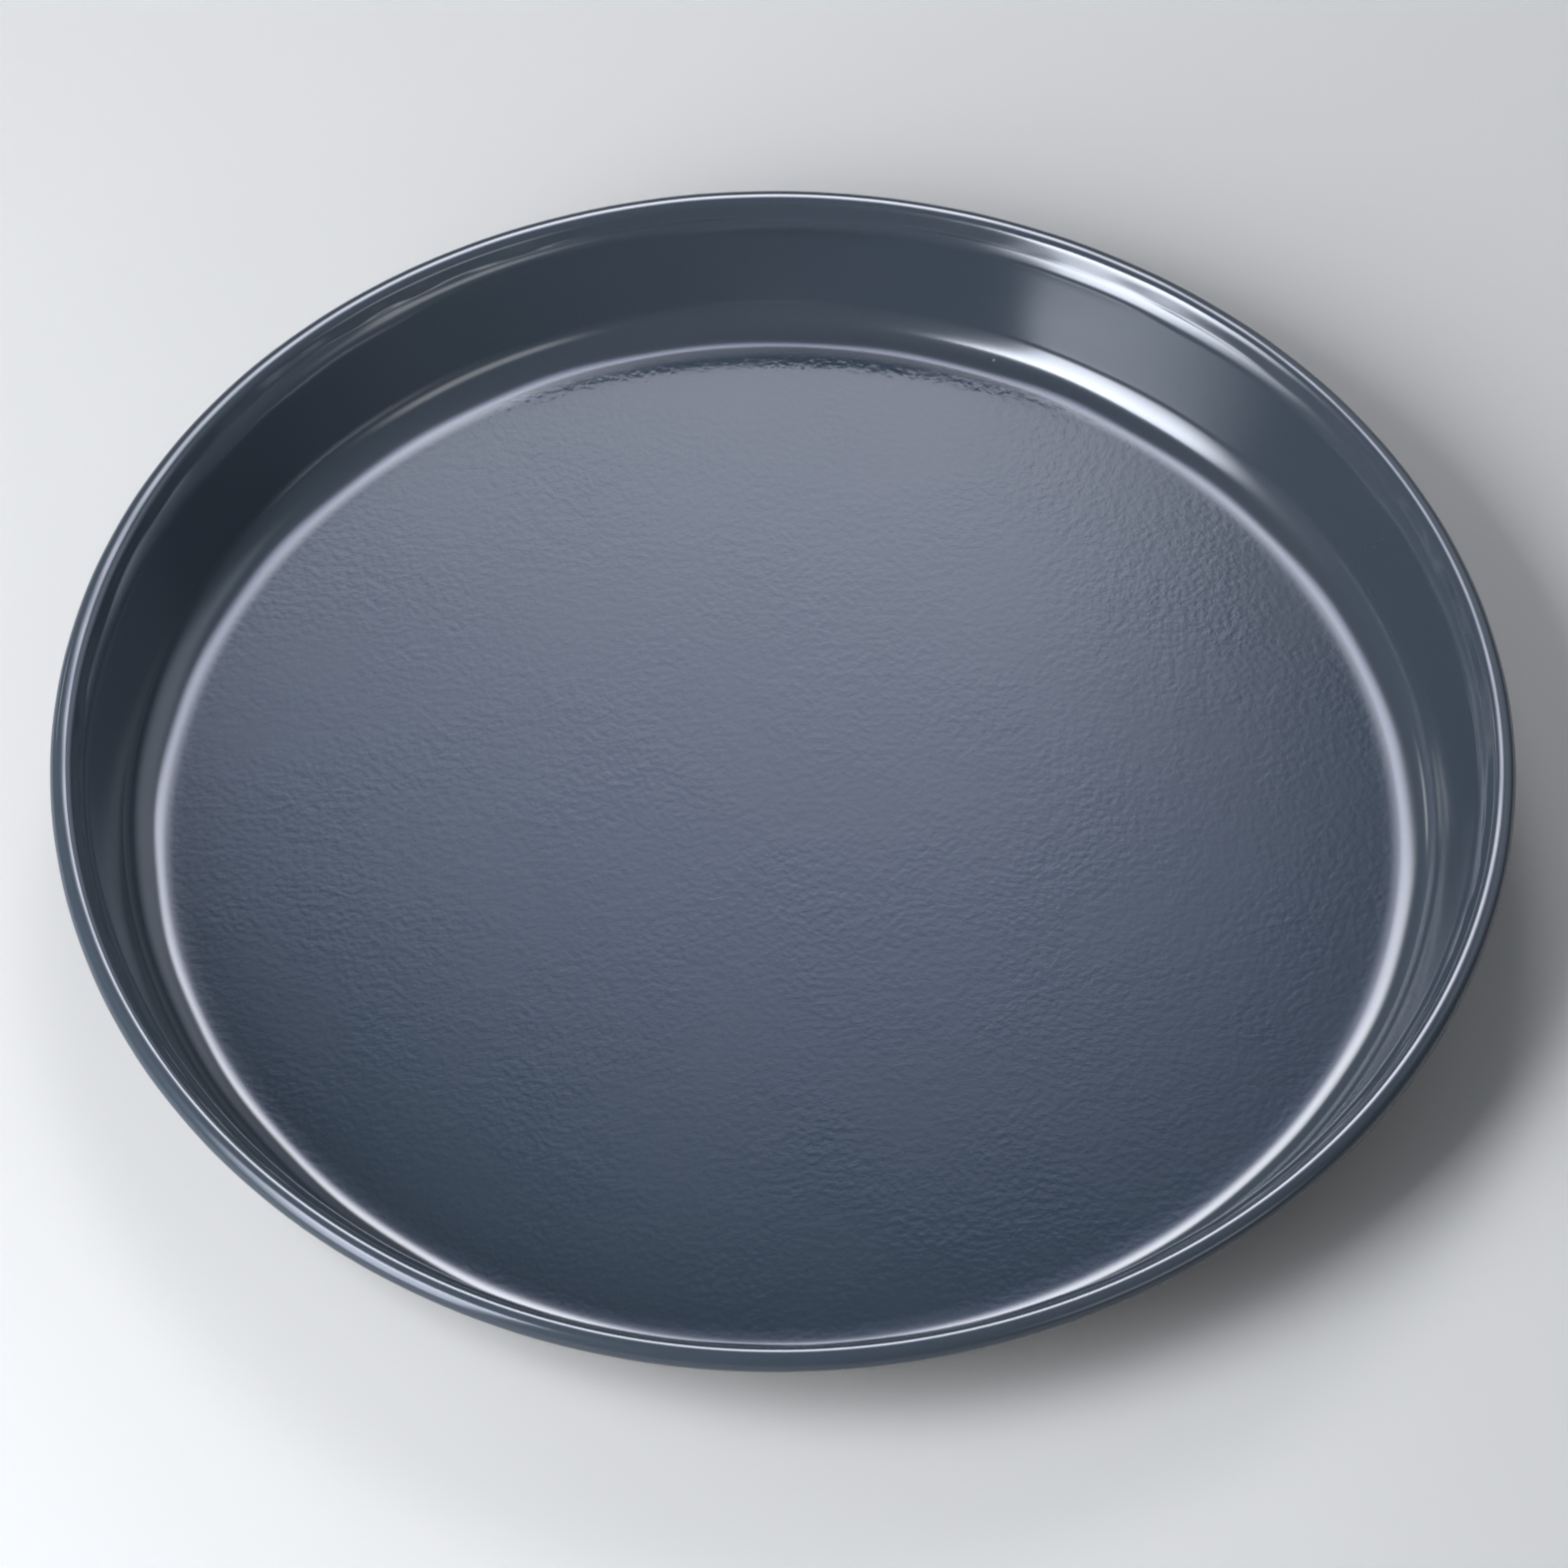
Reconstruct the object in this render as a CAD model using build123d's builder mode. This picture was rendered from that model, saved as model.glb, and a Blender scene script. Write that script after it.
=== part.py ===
from build123d import *
import math
import os

# A round enamelled pizza pan, in millimetres.
# The origin is the centre of the underside, and +Z points up out of the well.
# One pressed steel sheet carries two coats of fused enamel.

# The whole pan
pan_diameter = 350.0
pan_height = 34.1

# The sheet and its coats
steel_thickness = 0.8
ground_thickness = 0.2
cover_thickness = 0.2

# Bends and slopes of the cooking face, from the floor up, with slopes in degrees
floor_bend_radius = 10.5
wall_slope = 71.0
shoulder_bend_radius = 9.0
shoulder_slope = 41.0
collar_bend_radius = 3.0
collar_slope = 58.0
collar_length = 1.6

# The rolled rim: its outer radius, the gap that its hidden edge leaves behind the collar,
# and how far round from the top the cover coat reaches, in degrees
rim_radius = 3.2
seam_gap = 1.3
cover_roll_turn = 165.0

# Depth of each face of the layers below the cooking face
cooking_face = 0.0
ground_face = cooking_face + cover_thickness
steel_face = ground_face + ground_thickness
steel_back = steel_face + steel_thickness
under_face = steel_back + ground_thickness


def bend_rise(radius, from_slope, to_slope):
    """Height that a bend climbs between two slopes."""
    return radius * abs(math.cos(math.radians(from_slope)) - math.cos(math.radians(to_slope)))


def bend_reach(radius, from_slope, to_slope):
    """Distance that a bend goes outwards between two slopes."""
    return radius * abs(math.sin(math.radians(from_slope)) - math.sin(math.radians(to_slope)))


# Each bend of the cooking face, with the slopes that it joins
bends = [
    (floor_bend_radius, 0, wall_slope),
    (shoulder_bend_radius, wall_slope, shoulder_slope),
    (collar_bend_radius, shoulder_slope, collar_slope),
    (rim_radius, collar_slope, 0),
]

# The straight wall takes up the height that the bends and the collar leave
collar_rise = collar_length * math.sin(math.radians(collar_slope))
wall_rise = pan_height - under_face - collar_rise - sum(bend_rise(*bend) for bend in bends)
wall_length = wall_rise / math.sin(math.radians(wall_slope))

# The flat floor takes up the radius that they leave
collar_reach = collar_length * math.cos(math.radians(collar_slope))
wall_reach = wall_length * math.cos(math.radians(wall_slope))
rim_centre = pan_diameter / 2 - rim_radius
floor_radius = rim_centre - collar_reach - wall_reach - sum(bend_reach(*bend) for bend in bends)

# The rolled edge stops short of the collar's back by the seam gap, counted in degrees from the top
roll_outside = rim_radius - ground_face
roll_inside = rim_radius - under_face
seam_angle = math.degrees(math.acos((roll_inside - seam_gap) / roll_outside))
ground_roll_turn = 360 - collar_slope - seam_angle

# The steel stops one coat short of that, so that the ground coat wraps its cut edge
roll_middle = (roll_outside + roll_inside) / 2
steel_roll_turn = ground_roll_turn - math.degrees(ground_thickness / roll_middle)


def face_line(depth, roll_turn):
    """Draws the section's line at one depth, from the axis to the end of the roll, and returns its ends."""
    floor = Line((0, under_face - depth), (floor_radius, under_face - depth))
    floor_bend = JernArc(floor @ 1, floor % 1, floor_bend_radius + depth, wall_slope)
    wall = PolarLine(floor_bend @ 1, wall_length, wall_slope)
    shoulder = JernArc(wall @ 1, wall % 1, shoulder_bend_radius - depth, shoulder_slope - wall_slope)
    collar_bend = JernArc(
        shoulder @ 1, shoulder % 1, collar_bend_radius + depth, collar_slope - shoulder_slope
    )
    collar = PolarLine(collar_bend @ 1, collar_length, collar_slope)
    rim = JernArc(collar @ 1, collar % 1, rim_radius - depth, -(collar_slope + roll_turn))
    return floor @ 0, rim @ 1


def layer_outline(top_depth, bottom_depth, roll_turn):
    """Draws the closed section of a layer that lies between two depths."""
    top_start, top_end = face_line(top_depth, roll_turn)
    bottom_start, bottom_end = face_line(bottom_depth, roll_turn)
    Line(top_start, bottom_start)
    Line(top_end, bottom_end)


# The pressed sheet: flat base, steep wall, shoulder, collar and rolled edge
with BuildPart() as steel_body:
    with BuildSketch(Plane.XZ):
        with BuildLine():
            layer_outline(steel_face, steel_back, steel_roll_turn)
        make_face()
    revolve(axis=Axis.Z)

# The ground coat: enamel on every face of the sheet and round its cut edge
with BuildPart() as ground_coat:
    with BuildSketch(Plane.XZ):
        with BuildLine():
            layer_outline(ground_face, under_face, ground_roll_turn)
        make_face()
    revolve(axis=Axis.Z)
    add(steel_body.part, mode=Mode.SUBTRACT)

# The cover coat: gloss enamel inside the well and over the rolled rim
with BuildPart() as cover_coat:
    with BuildSketch(Plane.XZ):
        with BuildLine():
            layer_outline(cooking_face, ground_face, cover_roll_turn)
        make_face()
    revolve(axis=Axis.Z)

steel_body.part.label = "steel_body"
ground_coat.part.label = "ground_coat"
cover_coat.part.label = "cover_coat"

os.makedirs("parts", exist_ok=True)
export_step(steel_body.part, "parts/steel_body.step")
export_step(ground_coat.part, "parts/ground_coat.step")
export_step(cover_coat.part, "parts/cover_coat.step")
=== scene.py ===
import math
import random

import bpy
import numpy as np
from mathutils import Matrix, Vector


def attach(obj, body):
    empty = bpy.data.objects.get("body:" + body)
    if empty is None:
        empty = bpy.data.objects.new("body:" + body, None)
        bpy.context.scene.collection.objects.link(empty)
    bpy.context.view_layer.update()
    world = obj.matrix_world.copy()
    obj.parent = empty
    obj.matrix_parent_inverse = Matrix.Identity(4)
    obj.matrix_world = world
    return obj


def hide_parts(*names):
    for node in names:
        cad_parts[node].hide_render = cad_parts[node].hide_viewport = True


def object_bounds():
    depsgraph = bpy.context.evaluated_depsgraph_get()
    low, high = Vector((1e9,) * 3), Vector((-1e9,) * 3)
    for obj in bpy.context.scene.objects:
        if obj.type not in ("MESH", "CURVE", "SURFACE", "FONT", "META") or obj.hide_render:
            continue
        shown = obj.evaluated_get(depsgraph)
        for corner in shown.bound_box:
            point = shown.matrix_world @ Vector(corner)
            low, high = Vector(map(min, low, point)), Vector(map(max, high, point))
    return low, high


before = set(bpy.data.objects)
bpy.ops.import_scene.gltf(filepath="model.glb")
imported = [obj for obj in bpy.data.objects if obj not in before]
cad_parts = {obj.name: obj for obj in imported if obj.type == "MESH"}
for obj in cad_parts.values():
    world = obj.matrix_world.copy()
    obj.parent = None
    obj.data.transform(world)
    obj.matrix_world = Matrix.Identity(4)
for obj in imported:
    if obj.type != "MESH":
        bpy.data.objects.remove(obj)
cad_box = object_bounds()

MM = 0.001  # the part's own sizes are in millimetres, and Blender's in metres


# The pressed sheet: one disc of 0.8 mm steel, drawn in a press into a flat floor, a steep wall,
# a shoulder and a collar, with its edge rolled outwards and down into a hollow bead.
# The enamel hides all of it. Its section is the one that both coats follow as well.

PAN_RADIUS, PAN_HEIGHT = cad_box[1][0] / MM, cad_box[1][2] / MM
LEAD_BEND = 130.0  # the floor starts to rise in a very wide bend
LEAD_SLOPE = 2.0
EASE_BEND = 16.0  # then in two tighter ones
EASE_SLOPE = 12.0
FLOOR_BEND = 10.2
WALL_SLOPE = 69.5
SHOULDER_BEND = 9.5
SHOULDER_SLOPE = 42.0
COLLAR_BEND = 3.0
COLLAR_SLOPE = 60.0
COLLAR_LENGTH = 2.2
INNER_BEAD = 2.6  # the roll is tighter inside its crest than outside it, and flatter on the crest
CREST_BEND = 4.0
CREST_SLOPE = 10.0
BEAD = 2.8
STEEL_ROLL = 216.0  # degrees that the roll turns past its level crest, to the sheet's cut edge

# Depth of each face of the layers below the cooking face
COVER_TOP, GROUND_TOP, STEEL_TOP, STEEL_BACK, UNDER_FACE = 0.0, 0.2, 0.4, 1.2, 1.4

# The straight wall takes up the height that the bends and the collar leave, and the floor the radius
SECTION_BENDS = (
    (LEAD_BEND, 0, LEAD_SLOPE),
    (EASE_BEND, LEAD_SLOPE, EASE_SLOPE),
    (FLOOR_BEND, EASE_SLOPE, WALL_SLOPE),
    (SHOULDER_BEND, WALL_SLOPE, SHOULDER_SLOPE),
    (COLLAR_BEND, SHOULDER_SLOPE, COLLAR_SLOPE),
    (INNER_BEAD, COLLAR_SLOPE, CREST_SLOPE),
    (CREST_BEND, CREST_SLOPE, 0),
)
bend_rise, bend_reach = 0.0, 0.0
for bend_radius, start_slope, end_slope in SECTION_BENDS:
    start, end = math.radians(start_slope), math.radians(end_slope)
    bend_rise += bend_radius * abs(math.cos(start) - math.cos(end))
    bend_reach += bend_radius * abs(math.sin(start) - math.sin(end))
collar_rise = COLLAR_LENGTH * math.sin(math.radians(COLLAR_SLOPE))
collar_reach = COLLAR_LENGTH * math.cos(math.radians(COLLAR_SLOPE))
wall_length = (PAN_HEIGHT - UNDER_FACE - collar_rise - bend_rise) / math.sin(math.radians(WALL_SLOPE))
wall_reach = wall_length * math.cos(math.radians(WALL_SLOPE))
crest_share = math.sin(math.radians(CREST_SLOPE))
bead_reach = CREST_BEND * crest_share + BEAD * (1 - crest_share)
floor_radius = PAN_RADIUS - bead_reach - collar_reach - wall_reach - bend_reach

TURNS = 720  # points round each ring
SHARP_TURN = 50  # degrees between two faces from which the edge is drawn sharp
FINE, COARSE = 1.0, 0.4  # share of the section's points that a shown and a hidden face get
around = np.arange(TURNS) * (2 * math.pi / TURNS)


def face_line(depth, roll_turn, fineness):
    """Points of the section at one depth, from the axis to the end of the roll.
    Each is its radius, its height, its slope and its stage: 0 floor, 1 floor bend, 2 wall, 3 shoulder,
    4 collar bend, 5 collar, and from 6 up the rolled bead, one stage for every 90 degrees of it."""
    height = UNDER_FACE - depth
    line = [(0.0, height, 0.0, 0.0)]

    def straight(length, steps, stage):
        r, z, slope, _ = line[-1]
        count = max(2, round(steps * fineness))
        for i in range(1, count + 1):
            along = length * i / count
            line.append((r + along * math.cos(slope), z + along * math.sin(slope), slope, stage + i / count))

    def bend(radius, turn, steps, stage, stages=1.0):
        r, z, slope, _ = line[-1]
        turn = math.radians(turn)
        side = math.copysign(radius, turn)
        middle = (r - side * math.sin(slope), z + side * math.cos(slope))
        count = max(2, round(steps * fineness))
        for i in range(1, count + 1):
            now = slope + turn * i / count
            place = (middle[0] + side * math.sin(now), middle[1] - side * math.cos(now))
            line.append((*place, now, stage + stages * i / count))

    # Each says how far it goes, how many points it gets, its stage and how many stages it spans
    straight(floor_radius, 30, 0)
    bend(LEAD_BEND + depth, LEAD_SLOPE, 10, 1, 0.2)
    bend(EASE_BEND + depth, EASE_SLOPE - LEAD_SLOPE, 10, 1.2, 0.2)
    bend(FLOOR_BEND + depth, WALL_SLOPE - EASE_SLOPE, 28, 1.4, 0.6)
    straight(wall_length, 12, 2)
    bend(SHOULDER_BEND - depth, SHOULDER_SLOPE - WALL_SLOPE, 16, 3)
    bend(COLLAR_BEND + depth, COLLAR_SLOPE - SHOULDER_SLOPE, 8, 4)
    straight(COLLAR_LENGTH, 4, 5)
    bend(INNER_BEAD - depth, CREST_SLOPE - COLLAR_SLOPE, 10, 6, (COLLAR_SLOPE - CREST_SLOPE) / 90)
    bend(CREST_BEND - depth, -2 * CREST_SLOPE, 6, 6 + (COLLAR_SLOPE - CREST_SLOPE) / 90, 2 * CREST_SLOPE / 90)
    turned = roll_turn - CREST_SLOPE
    bend(BEAD - depth, -turned, turned / 5, 6 + (COLLAR_SLOPE + CREST_SLOPE) / 90, turned / 90)
    return line


def ripple(seed, longest, shortest, height):
    """A seeded wave round the pan: its waves run from longest to shortest, counted round the circle."""
    dice = random.Random(seed)
    wave = np.zeros(TURNS)
    for count in range(longest, shortest + 1):
        wave += dice.gauss(0, 1) * np.cos(count * around + dice.uniform(0, 2 * math.pi))
    return wave * height / max(1e-9, float(np.std(wave)))


def lobes(count, height, turned):
    """A plain wave round the pan with that many crests, one of them turned so many degrees from +X."""
    return height * np.cos(count * around - math.radians(turned))


# The press leaves the real pan a little out of true, here in millimetres: a few slow lobes in the rim
# and in the floor's edge, which is also a little off centre, and small seeded waves in each face
RIM_OUT_OF_ROUND = lobes(3, 0.53, 42) + lobes(2, 0.15, -97) + lobes(4, 0.09, -115)
FLOOR_OUT_OF_ROUND = lobes(1, 0.86, 75) + lobes(3, 0.29, 5) + lobes(4, 0.31, 1) + lobes(5, 0.18, -172)
FLOOR_BEND_WAVE = ripple(5, 5, 22, 0.07)
WALL_WAVE = ripple(6, 3, 16, 0.07)
SHOULDER_WAVE = ripple(7, 8, 40, 0.07)
COLLAR_WAVE = ripple(8, 12, 60, 0.06)
BEAD_WAVE = ripple(9, 9, 44, 0.02)
BEAD_SLIP = 0.07  # room for the bead's own waves inside the widest circle

# The stages of the section at which each wave starts, is strongest and ends
FACE_WAVES = (
    (1.2, 1.7, 2.4, FLOOR_BEND_WAVE),
    (1.6, 2.5, 3.3, WALL_WAVE),
    (2.7, 3.6, 4.5, SHOULDER_WAVE),
    (3.9, 5.0, 6.3, COLLAR_WAVE),
    (5.7, 6.7, 9.5, BEAD_WAVE),
)

# The widest lobe touches the pan's full radius, so the mean size of the pan is this share of it
DRAWN_IN = 1 - (float(RIM_OUT_OF_ROUND.max()) + BEAD_SLIP) / PAN_RADIUS


def hump(stage, start, top, end):
    """0 up to start, rising smoothly to 1 at top, and falling to 0 again at end."""
    if stage <= start or stage >= end:
        return 0.0
    share = (stage - start) / (top - start) if stage < top else (end - stage) / (end - top)
    return share * share * (3 - 2 * share)


def climb(stage, start, end):
    """0 up to start, rising smoothly to 1 at end."""
    share = min(1.0, max(0.0, (stage - start) / (end - start)))
    return share * share * (3 - 2 * share)


def ring(point):
    """The points round the pan at one point of the section, waves and all, in metres."""
    r, z, slope, stage = point
    swell = sum(hump(stage, start, top, end) * wave for start, top, end, wave in FACE_WAVES)
    rim = climb(stage, 2.0, 4.5)
    foot = climb(stage, 0.8, 0.95) - rim
    radius = r * DRAWN_IN - math.sin(slope) * swell + rim * RIM_OUT_OF_ROUND + foot * FLOOR_OUT_OF_ROUND
    height = np.maximum(0, z * DRAWN_IN + math.cos(slope) * swell)
    return np.column_stack([radius * np.cos(around), radius * np.sin(around), height]) * MM


def spun(name, skins):
    """One mesh from closed skins. Each is a line that starts and ends on the axis, spun round it."""
    rows, faces, start = [], [], 0
    step = np.arange(TURNS)
    after = (step + 1) % TURNS
    for line in skins:
        rings = [ring(point) for point in line[1:-1]]
        first, last = ring(line[0])[:1], ring(line[-1])[:1]
        rows += [first, *rings, last]
        for i in range(len(rings) - 1):
            a, b = start + 1 + i * TURNS, start + 1 + (i + 1) * TURNS
            faces.append(np.column_stack([a + step, b + step, b + after, a + after]))
        end = start + 1 + len(rings) * TURNS
        inner, outer = start + 1, end - TURNS
        faces.append(np.column_stack([np.full(TURNS, start), inner + step, inner + after]))
        faces.append(np.column_stack([outer + step, np.full(TURNS, end), outer + after]))
        start = end + 1
    mesh = bpy.data.meshes.new(name)
    mesh.from_pydata(np.concatenate(rows).tolist(), [], [f for block in faces for f in block.tolist()])
    mesh.shade_smooth()
    mesh.set_sharp_from_angle(angle=math.radians(SHARP_TURN))
    mesh.validate()
    piece = bpy.data.objects.new(name, mesh)
    bpy.context.scene.collection.objects.link(piece)
    return piece


def steel_skin(fineness):
    """The sheet's own surface: up its inner face, round its rolled edge and back under its floor."""
    inner = face_line(STEEL_TOP, STEEL_ROLL, fineness)
    outer = face_line(STEEL_BACK, STEEL_ROLL, fineness)
    return inner + outer[::-1]


steel_sheet = spun("steel_sheet", [steel_skin(COARSE)])


def new_material(name):
    """A material with its node tree, its Principled shader and the node that carries object coordinates."""
    material = bpy.data.materials.new(name)
    material.use_nodes = True
    tree = material.node_tree
    shader = tree.nodes["Principled BSDF"]
    place = tree.nodes.new("ShaderNodeTexCoord")
    return material, tree, shader, place.outputs["Object"]


def wire(tree, kind, links, **settings):
    """Adds a node and sets its fields. Each socket that links names gets a number or a colour,
    or is joined to another node's output."""
    node = tree.nodes.new(kind)
    for field, value in settings.items():
        setattr(node, field, value)
    for socket, source in links.items():
        if isinstance(source, (int, float, tuple)):
            node.inputs[socket].default_value = source
        else:
            tree.links.new(source, node.inputs[socket])
    return node


def noise(tree, place, scale, detail):
    """A noise texture's value over the surface."""
    links = {"Vector": place, "Scale": scale, "Detail": detail}
    return wire(tree, "ShaderNodeTexNoise", links).outputs["Fac"]


def ranged(tree, value, start, end, at_start, at_end, **settings):
    """A value that goes from one level to another while the given value goes from start to end."""
    links = {"Value": value, "From Min": start, "From Max": end, "To Min": at_start, "To Max": at_end}
    return wire(tree, "ShaderNodeMapRange", links, **settings).outputs["Result"]


def blend(tree, share, first, second):
    """A colour between two others: the first at a share of 0, the second at 1."""
    links = {"Factor": share, "A": first, "B": second}
    return wire(tree, "ShaderNodeMix", links, data_type="RGBA").outputs["Result"]


steel, tree, shader, place = new_material("cold_rolled_steel")
stretch = wire(tree, "ShaderNodeVectorMath", {0: place, 1: (90.0, 2600.0, 900.0)}, operation="MULTIPLY")
streaks = noise(tree, stretch.outputs[0], scale=1.0, detail=4.0)
tint = blend(tree, streaks, (0.30, 0.31, 0.32, 1), (0.46, 0.46, 0.47, 1))
dull = ranged(tree, streaks, 0, 1, 0.28, 0.46)
grain = wire(tree, "ShaderNodeBump", {"Height": streaks, "Strength": 0.15, "Distance": 0.00002})
tree.links.new(tint, shader.inputs["Base Color"])
tree.links.new(dull, shader.inputs["Roughness"])
tree.links.new(grain.outputs["Normal"], shader.inputs["Normal"])
shader.inputs["Metallic"].default_value = 1.0
steel_sheet.data.materials.append(steel)

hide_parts("steel_body")
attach(steel_sheet, "root")


# The ground coat: the first enamel, fired on every face of the sheet and round its cut edge.
# It is what shows of the pan from below: a dark coat with a duller surface than the cover coat's.

GROUND_ROLL = 220.0  # degrees past the crest, so that it reaches round the sheet's edge
EDGE_BULGE = 0.35  # how far its rounded end swells, as a share of a half circle


def around_edge(top_depth, bottom_depth, roll_turn, steps):
    """Half a round end for a coat that wraps an edge at the end of the roll."""
    middle = (top_depth + bottom_depth) / 2
    half = (bottom_depth - top_depth) / 2
    points = []
    for i in range(1, steps):
        swing = math.pi * i / steps
        depth = middle - half * math.cos(swing)
        bulge = math.degrees(half * math.sin(swing) / (BEAD - depth)) * EDGE_BULGE
        points.append(face_line(depth, roll_turn + bulge, FINE)[-1])
    return points


ground_inner = face_line(GROUND_TOP, GROUND_ROLL, COARSE)
ground_outer = face_line(UNDER_FACE, GROUND_ROLL, FINE)
ground_skin = ground_inner + around_edge(GROUND_TOP, UNDER_FACE, GROUND_ROLL, 8) + ground_outer[::-1]
ground_enamel = spun("ground_enamel", [ground_skin, steel_skin(COARSE)[::-1]])


# Distances from the axis in millimetres: where the floor starts to turn up and where it counts as steep,
# which sets its gloss, its peel and its painted lighter colour (painted fill light), and where the outside of
# the bead starts and ends
BEND_START, BEND_END = 145.2, 149.4
SIDE_START, SIDE_END = 171.6, 173.4


def reckon(tree, operation, *values):
    """One sum on numbers or other nodes' outputs."""
    return wire(tree, "ShaderNodeMath", dict(enumerate(values)), operation=operation).outputs[0]


def enamel_group():
    """Fired enamel: a colour that drifts at random where the coat is thicker, with the steep faces painted
    lighter as painted fill light, fine specks, and the low, rounded waves of orange peel that the melt leaves
    on a flat face and almost loses on a steep one."""
    group = bpy.data.node_groups.new("fired_enamel", "ShaderNodeTree")

    def socket(name, kind, way, value=None):
        made = group.interface.new_socket(name, in_out=way, socket_type=kind)
        if value is not None:
            made.default_value = value

    socket("Place", "NodeSocketVector", "INPUT")
    # The lighter colour: the thin coat's own tone, and also the painted fill light of the steep faces
    socket("Thin Colour", "NodeSocketColor", "INPUT", (0.020, 0.023, 0.030, 1))
    socket("Thick Colour", "NodeSocketColor", "INPUT", (0.012, 0.014, 0.019, 1))
    # How far the steep faces are painted towards the lighter colour: painted fill light
    socket("Run Off", "NodeSocketFloat", "INPUT", 0.5)
    socket("Speck Colour", "NodeSocketColor", "INPUT", (0.10, 0.11, 0.12, 1))
    socket("Speck Share", "NodeSocketFloat", "INPUT", 0.1)
    socket("Flat Peel", "NodeSocketFloat", "INPUT", 1.0)
    socket("Steep Peel", "NodeSocketFloat", "INPUT", 0.2)
    socket("Flat Roughness", "NodeSocketFloat", "INPUT", 0.25)
    socket("Steep Roughness", "NodeSocketFloat", "INPUT", 0.12)
    socket("Flat Gloss", "NodeSocketFloat", "INPUT", 0.3)
    socket("Steep Gloss", "NodeSocketFloat", "INPUT", 1.0)
    socket("Edge Gloss", "NodeSocketFloat", "INPUT", 0.3)
    socket("Colour", "NodeSocketColor", "OUTPUT")
    socket("Roughness", "NodeSocketFloat", "OUTPUT")
    socket("Gloss", "NodeSocketFloat", "OUTPUT")
    socket("Height", "NodeSocketFloat", "OUTPUT")
    given = group.nodes.new("NodeGroupInput").outputs
    result = group.nodes.new("NodeGroupOutput").inputs

    place = given["Place"]

    # 0 on the flat floor and 1 from the start of the bend up, then 0 to 1 again over the outside of the bead
    apart = wire(group, "ShaderNodeSeparateXYZ", {"Vector": place}).outputs
    flat_place = wire(group, "ShaderNodeCombineXYZ", {"X": apart["X"], "Y": apart["Y"]}).outputs[0]
    reach = wire(group, "ShaderNodeVectorMath", {0: flat_place}, operation="LENGTH").outputs["Value"]
    steep = ranged(group, reach, BEND_START * MM, BEND_END * MM, 0, 1, interpolation_type="SMOOTHSTEP")
    edge = ranged(group, reach, SIDE_START * MM, SIDE_END * MM, 0, 1, interpolation_type="SMOOTHSTEP")

    # The colour drifts at random with the coat's thickness, and the steep faces are painted lighter, nearer
    # to the thin colour, as painted fill light on the walls
    drift = noise(group, place, scale=22.0, detail=3.0)
    grain = noise(group, place, scale=1100.0, detail=2.0)
    depth = ranged(group, reckon(group, "MULTIPLY_ADD", grain, 0.7, drift), 0, 1.7, 0.2, 0.8)
    painted_wall_light = reckon(group, "MULTIPLY", steep, given["Run Off"])
    thickness_minus_painted_light = wire(group, "ShaderNodeMath", {0: depth, 1: painted_wall_light}, operation="SUBTRACT", use_clamp=True)
    tone_and_painted_light = blend(group, thickness_minus_painted_light.outputs[0], given["Thin Colour"], given["Thick Colour"])

    # A speck is the middle of a cell, in the share of cells that chance picks
    cells = wire(group, "ShaderNodeTexVoronoi", {"Vector": place, "Scale": 420.0}).outputs
    near = ranged(group, cells["Distance"], 0.10, 0.22, 1, 0)
    chance = wire(group, "ShaderNodeSeparateColor", {"Color": cells["Color"]}).outputs["Red"]
    chosen = reckon(group, "LESS_THAN", chance, given["Speck Share"])
    speck = reckon(group, "MULTIPLY", near, chosen)
    group.links.new(blend(group, speck, tone_and_painted_light, given["Speck Colour"]), result["Colour"])

    haze = noise(group, place, scale=60.0, detail=5.0)
    uneven = ranged(group, haze, 0, 1, 0.85, 1.15)
    rough = ranged(group, steep, 0, 1, given["Flat Roughness"], given["Steep Roughness"])
    group.links.new(reckon(group, "MULTIPLY", rough, uneven), result["Roughness"])
    gloss = ranged(group, steep, 0, 1, given["Flat Gloss"], given["Steep Gloss"])
    group.links.new(ranged(group, edge, 0, 1, gloss, given["Edge Gloss"]), result["Gloss"])

    # Orange peel: fine and broad waves together, stronger in some patches than in others
    peel = noise(group, place, scale=560.0, detail=2.0)
    broad = noise(group, place, scale=120.0, detail=1.0)
    both = reckon(group, "MULTIPLY_ADD", broad, 0.35, peel)
    swing = ranged(group, steep, 0, 1, given["Flat Peel"], given["Steep Peel"])
    patches = ranged(group, drift, 0.35, 0.65, 0.5, 1.3)
    waves = reckon(group, "MULTIPLY", both, swing)
    group.links.new(reckon(group, "MULTIPLY", waves, patches), result["Height"])
    return group


enamel = enamel_group()


def enamel_material(name, glaze, glaze_roughness, peel_depth, **values):
    """A material in fired enamel with its own values for the group's inputs."""
    material, tree, shader, place = new_material(name)
    coat = tree.nodes.new("ShaderNodeGroup")
    coat.node_tree = enamel
    tree.links.new(place, coat.inputs["Place"])
    for field, value in values.items():
        coat.inputs[field.replace("_", " ")].default_value = value
    bump = wire(tree, "ShaderNodeBump", {"Height": coat.outputs["Height"], "Distance": peel_depth})
    tree.links.new(coat.outputs["Colour"], shader.inputs["Base Color"])
    tree.links.new(coat.outputs["Roughness"], shader.inputs["Roughness"])
    tree.links.new(coat.outputs["Gloss"], shader.inputs["Coat Weight"])
    shader.inputs["Coat Roughness"].default_value = glaze_roughness
    tree.links.new(bump.outputs["Normal"], shader.inputs["Normal"])
    shader.inputs["IOR"].default_value = 1.5
    shader.inputs["Specular IOR Level"].default_value = 0.23
    shader.inputs["Specular Tint"].default_value = (0.83, 0.85, 0.97, 1)
    shader.inputs["Coat IOR"].default_value = glaze
    return material


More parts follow.
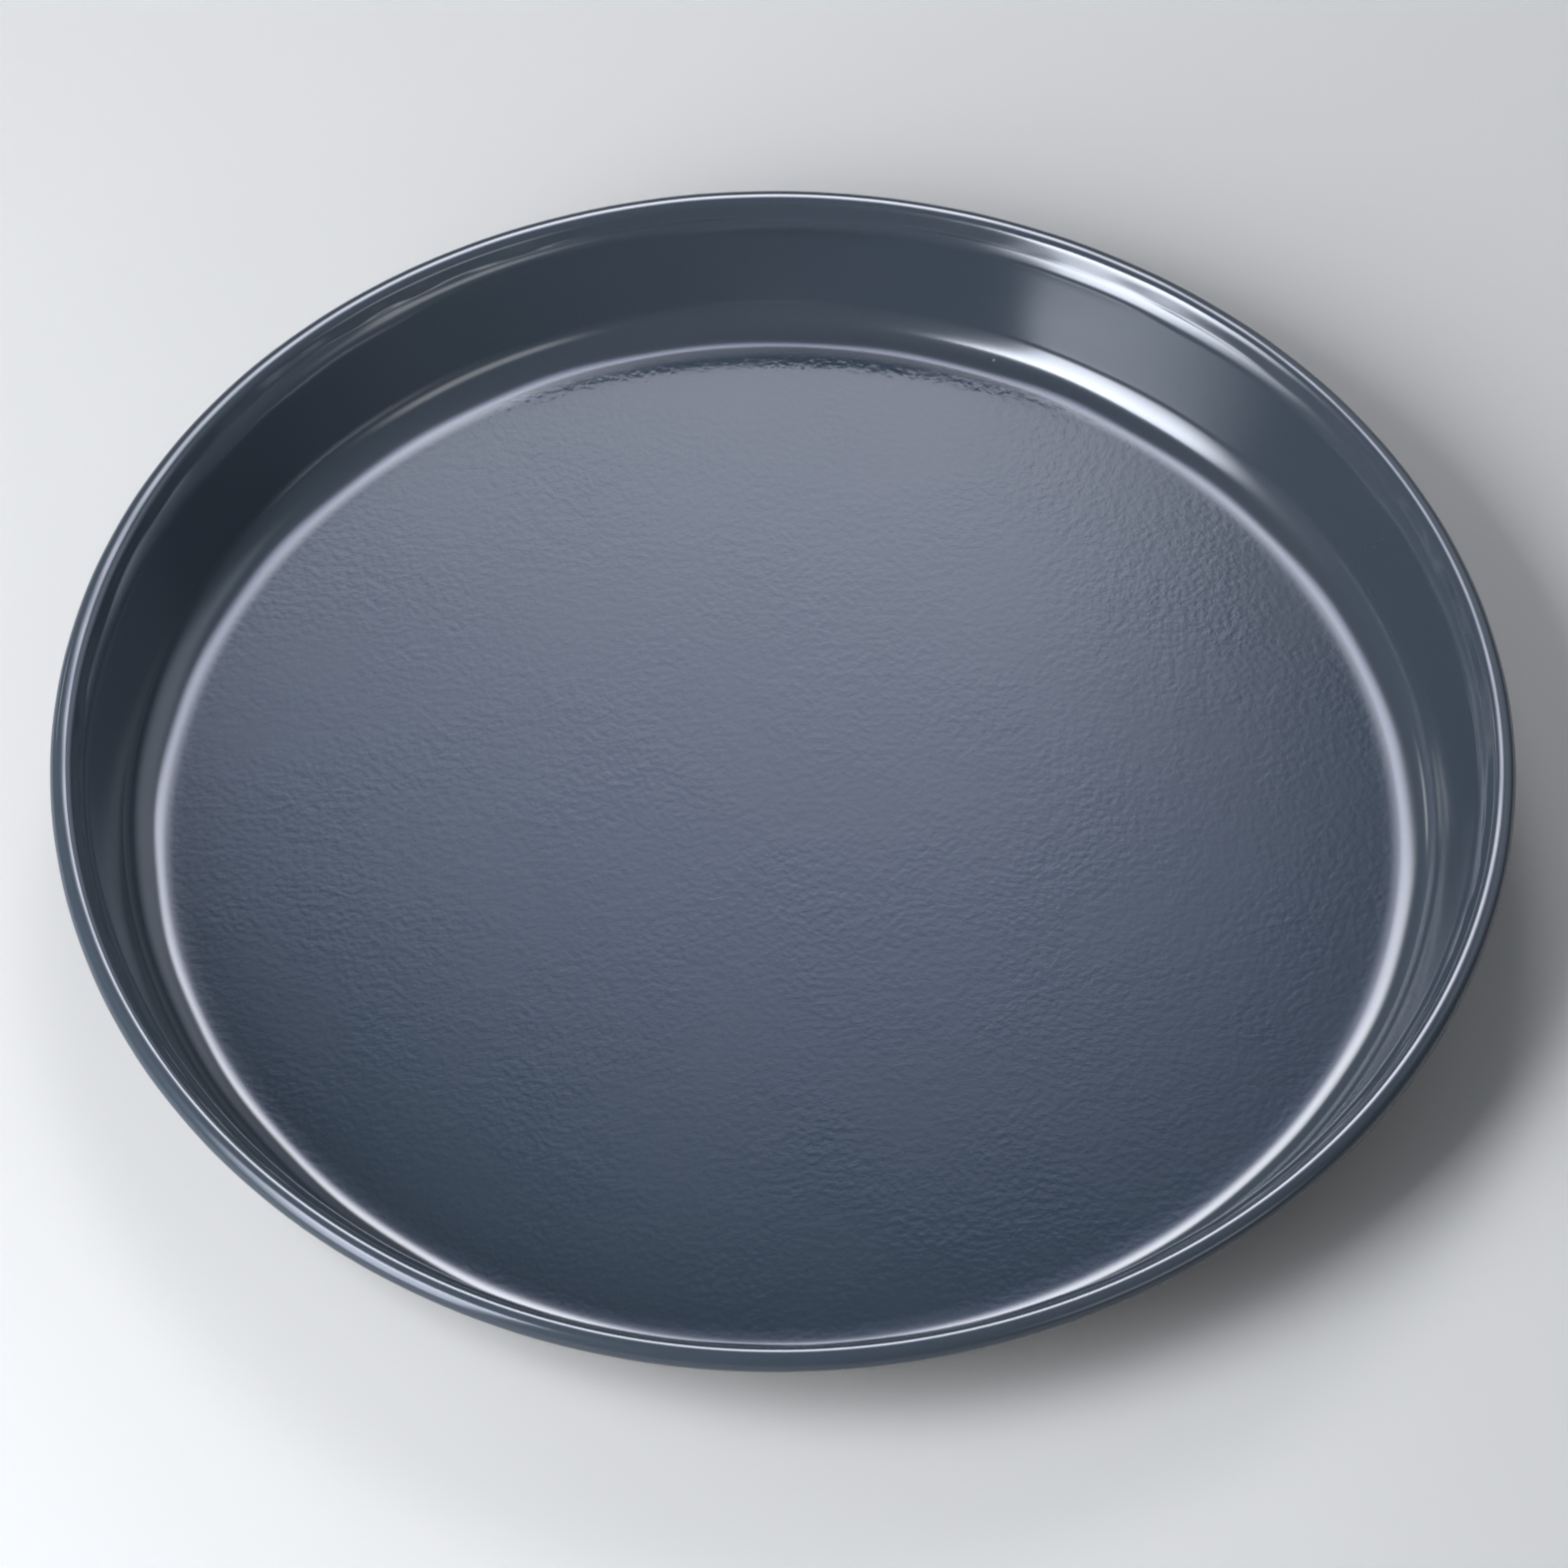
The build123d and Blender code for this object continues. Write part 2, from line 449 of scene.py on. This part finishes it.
ground_enamel.data.materials.append(
    enamel_material(
        "ground_coat_enamel",
        glaze=1.5,
        glaze_roughness=0.12,
        peel_depth=0.00004,
        # Lighter colour: thin coat tone, and painted fill light on the steep faces at the group's default
        # share
        Thin_Colour=(0.018, 0.020, 0.026, 1),
        Thick_Colour=(0.010, 0.011, 0.015, 1),
        Speck_Colour=(0.09, 0.10, 0.11, 1),
        Speck_Share=0.05,
        Flat_Peel=1.0,
        Steep_Peel=0.6,
        Flat_Roughness=0.30,
        Steep_Roughness=0.24,
        Flat_Gloss=0.2,
        Steep_Gloss=0.3,
        Edge_Gloss=0.3,
    )
)

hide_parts("ground_coat")
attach(ground_enamel, "root")


# The cover coat: the gloss enamel of the well, fired over the ground coat and over the rolled rim.
# It runs out thin on the outside of the bead, where the pan hung while the wet enamel drained.

COVER_ROLL = 164.0  # degrees past the crest
RUN_OUT = 14.0  # degrees of the roll over which it thins out to nothing
cover_outer = face_line(COVER_TOP, COVER_ROLL - RUN_OUT, FINE)
cover_inner = face_line(GROUND_TOP, COVER_ROLL, COARSE)
run_out = []
for share in (0.2, 0.4, 0.6, 0.8, 0.95):
    depth = COVER_TOP + (GROUND_TOP - COVER_TOP) * share**2
    run_out.append(face_line(depth, COVER_ROLL - RUN_OUT * (1 - share), FINE)[-1])
cover_enamel = spun("cover_enamel", [cover_outer + run_out + cover_inner[::-1]])
cover_enamel.data.materials.append(
    enamel_material(
        "cover_coat_enamel",
        glaze=1.65,
        glaze_roughness=0.17,
        peel_depth=0.000042,
        # Lighter colour: thin coat tone, and painted fill light on the steep walls
        Thin_Colour=(0.0395, 0.0490, 0.0600, 1),
        Thick_Colour=(0.0150, 0.0292, 0.0445, 1),
        # Share by which the steep walls are painted lighter: painted fill light
        Run_Off=0.38,
        Speck_Colour=(0.13, 0.14, 0.155, 1),
        Speck_Share=0.0003,
        Flat_Peel=1.0,
        Steep_Peel=0.12,
        Flat_Roughness=0.085,
        Steep_Roughness=0.10,
        Flat_Gloss=0.0,
        Steep_Gloss=1.0,
    )
)

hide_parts("cover_coat")
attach(cover_enamel, "root")


# The floor: a plain sheet of pale, matt paper that the pan stands on, a little uneven in its tone.
# It isn't part of the pan.

FLOOR_HALF = 20.0
FLOOR_DROP = 0.05 * MM  # just under the pan, so that the two faces don't fight
FLOOR_CORNERS = [(-1, -1), (1, -1), (1, 1), (-1, 1)]
floor_mesh = bpy.data.meshes.new("studio_floor")
floor_mesh.from_pydata([(x * FLOOR_HALF, y * FLOOR_HALF, 0) for x, y in FLOOR_CORNERS], [], [(0, 1, 2, 3)])
studio_floor = bpy.data.objects.new("studio_floor", floor_mesh)
studio_floor.location.z = -FLOOR_DROP
bpy.context.scene.collection.objects.link(studio_floor)
pale, tree, shader, place = new_material("pale_paper")
mottle = noise(tree, place, scale=3.0, detail=2.0)
paper = blend(tree, mottle, (0.520, 0.503, 0.476, 1), (0.550, 0.532, 0.503, 1))
tree.links.new(paper, shader.inputs["Base Color"])
shader.inputs["Roughness"].default_value = 0.9
shader.inputs["Specular IOR Level"].default_value = 0.2
studio_floor.data.materials.append(pale)


# The light: a graded card above and behind the pan, a tall curved softbox on the left of the camera,
# a dim one on its right, a narrow one at the back, a pale wall to the right, and a dim, slightly blue room.

WHITE = (1.0, 1.0, 1.0, 1)
CARD_STEPS = 8  # quads along each side of a curved card


def glowing_card(name, corners, faces, turned=0.0):
    """A card that the camera doesn't see, turned so many degrees. Its material waits for its emission."""
    mesh = bpy.data.meshes.new(name)
    mesh.from_pydata(corners, [], faces)
    card = bpy.data.objects.new(name, mesh)
    card.rotation_euler.z = math.radians(turned)
    card.visible_camera = False
    bpy.context.scene.collection.objects.link(card)
    glow, tree, shader, place = new_material(name + "_glow")
    tree.nodes.remove(shader)
    mesh.materials.append(glow)
    return tree, place


def shine(tree, strength, colour):
    """Ends a card's material: its own light, added to whatever is behind it."""
    light = wire(tree, "ShaderNodeEmission", {"Color": colour, "Strength": strength})
    clear = tree.nodes.new("ShaderNodeBsdfTransparent")
    both = tree.nodes.new("ShaderNodeAddShader")
    tree.links.new(light.outputs[0], both.inputs[0])
    tree.links.new(clear.outputs[0], both.inputs[1])
    tree.links.new(both.outputs[0], tree.nodes["Material Output"].inputs["Surface"])


def around_pan(azimuth, elevation, distance):
    """A place at that direction and distance from the middle of the pan."""
    a, e = math.radians(azimuth), math.radians(elevation)
    across = distance * math.cos(e)
    return (across * math.cos(a), across * math.sin(a), distance * math.sin(e))


def softbox(name, left, right, bottom, top, distance, radiance, fades, foot=1.0, lean=0.0, colour=WHITE):
    """A curved card round the pan, between two azimuths and two elevations in degrees. Its radiance is
    what a mirror would show of its top, and foot the share of it at the bottom. It fades out over so many
    degrees at its left, right, bottom and top, and its left edge leans out by so much for each degree."""
    middle = (left + right) / 2
    side = range(CARD_STEPS + 1)
    azimuths = [left - middle + (right - left) * i / CARD_STEPS for i in side]
    elevations = [bottom + (top - bottom) * j / CARD_STEPS for j in side]
    grid = [around_pan(azimuth, elevation, distance) for elevation in elevations for azimuth in azimuths]
    row = len(azimuths)
    starts = [i + j * row for j in range(CARD_STEPS) for i in range(CARD_STEPS)]
    tree, place = glowing_card(name, grid, [(k, k + 1, k + 1 + row, k + row) for k in starts], middle)
    apart = wire(tree, "ShaderNodeSeparateXYZ", {"Vector": place}).outputs
    azimuth = reckon(tree, "ARCTAN2", apart["Y"], apart["X"])
    elevation = reckon(tree, "ARCSINE", reckon(tree, "DIVIDE", apart["Z"], distance))
    leaned = reckon(tree, "MULTIPLY_ADD", elevation, lean, azimuth)
    level = ranged(tree, elevation, math.radians(bottom), math.radians(top), foot * radiance, radiance)
    edges = (
        (leaned, left - middle + lean * top, fades[0]),
        (azimuth, right - middle, -fades[1]),
        (elevation, bottom, fades[2]),
        (elevation, top, -fades[3]),
    )
    for angle, edge, fade in edges:
        outside, inside = math.radians(edge), math.radians(edge + fade)
        level = ranged(tree, angle, outside, inside, 0, level, interpolation_type="SMOOTHSTEP")
    shine(tree, level, colour)


softbox(
    "left_softbox",
    left=-191, right=-125, bottom=2, top=61,
    distance=1.2,
    radiance=16.5,
    fades=(30, 6, 9, 3),
    foot=0.5,
    lean=0.5,
    colour=(0.93, 0.98, 1.07, 1),
)
softbox(
    "right_softbox",
    left=-64, right=-16, bottom=16, top=38,
    distance=1.2,
    radiance=2.1,
    fades=(16, 16, 8, 8),
)
softbox(
    "back_softbox",
    left=135, right=145, bottom=16, top=24,
    distance=1.5,
    radiance=3.6,
    fades=(3, 3, 3, 3),
)
softbox(
    "pale_wall",
    left=5, right=82, bottom=2, top=58,
    distance=1.8,
    radiance=0.75,
    fades=(20, 20, 28, 14),
    colour=(0.86, 0.98, 1.15, 1),
)

# The card's glow rises from nothing at its near edge. It is brightest a little right of the middle,
# and falls off faster to the right than to the left, the more so the farther it is from the camera.
# All its distances are in metres.
CARD_HEIGHT = 1.0
CARD_NEAR, CARD_FAR, CARD_HALF = 0.50, 1.50, 0.80
CARD_RADIANCE = 9.3
CARD_FALL = 2.5  # the power of its bell curve: flatter on top and steeper at the sides than a plain one
tree, place = glowing_card(
    "overhead_card",
    [
        (-CARD_HALF, CARD_NEAR, CARD_HEIGHT),
        (-CARD_HALF, CARD_FAR, CARD_HEIGHT),
        (CARD_HALF, CARD_FAR, CARD_HEIGHT),
        (CARD_HALF, CARD_NEAR, CARD_HEIGHT),
    ],
    [(0, 1, 2, 3)],
)
apart = wire(tree, "ShaderNodeSeparateXYZ", {"Vector": place}).outputs


def over_depth(start, end, at_start, at_end, **settings):
    """A value that goes from one level to another between two distances behind the pan."""
    return ranged(tree, apart["Y"], start, end, at_start, at_end, **settings)


near_fade = over_depth(0.53, 0.90, 0.0, CARD_RADIANCE)
far_fade = over_depth(1.18, 1.48, 1.0, 0.0, interpolation_type="SMOOTHSTEP")
centre = over_depth(0.74, 0.84, 0.02, 0.06)
left_width = over_depth(0.60, 0.90, 0.13, 0.42)
right_width = over_depth(0.72, 0.86, 0.18, 0.12)
aside = reckon(tree, "SUBTRACT", apart["X"], centre)
width = ranged(tree, reckon(tree, "GREATER_THAN", aside, 0.0), 0, 1, left_width, right_width)
share = reckon(tree, "DIVIDE", reckon(tree, "ABSOLUTE", aside), width)
power = reckon(tree, "POWER", share, CARD_FALL)
bell = reckon(tree, "EXPONENT", reckon(tree, "MULTIPLY", power, -1.0))
strength = reckon(tree, "MULTIPLY", reckon(tree, "MULTIPLY", near_fade, bell), far_fade)
tone = blend(tree, over_depth(0.55, 0.92, 0.0, 1.0), (0.964, 1.024, 1.370, 1), (1.10, 1.12, 1.17, 1))
shine(tree, strength, tone)

room = bpy.data.worlds.new("dim_room")
bpy.context.scene.world = room
room.use_nodes = True
room.node_tree.nodes["Background"].inputs["Color"].default_value = (0.115, 0.128, 0.150, 1)
room.node_tree.nodes["Background"].inputs["Strength"].default_value = 1.0


# The camera: it stands in front of the pan and looks steeply down into the well, from far enough
# away that the round rim shows almost no perspective.

CAMERA_ELEVATION = math.radians(53.439)
CAMERA_ROLL = -0.0032
CAMERA_DISTANCE = 2494.2 * MM * DRAWN_IN
LENS, SENSOR_WIDTH = 238.37, 36.0
aim = Vector((0.671, 3.772, 15.0)) * MM * DRAWN_IN
back = Vector((0, -math.cos(CAMERA_ELEVATION), math.sin(CAMERA_ELEVATION)))
level_right = Vector((1, 0, 0))
level_up = back.cross(level_right)
right = math.cos(CAMERA_ROLL) * level_right - math.sin(CAMERA_ROLL) * level_up
up = math.sin(CAMERA_ROLL) * level_right + math.cos(CAMERA_ROLL) * level_up
eye = bpy.data.cameras.new("photo_view")
eye.lens = LENS
eye.sensor_width = SENSOR_WIDTH
camera = bpy.data.objects.new("photo_view", eye)
turned = Matrix((right, up, back)).transposed().to_4x4()
camera.matrix_world = Matrix.Translation(aim + back * CAMERA_DISTANCE) @ turned
bpy.context.scene.collection.objects.link(camera)
bpy.context.scene.camera = camera

bpy.context.scene.view_settings.view_transform = "Standard"
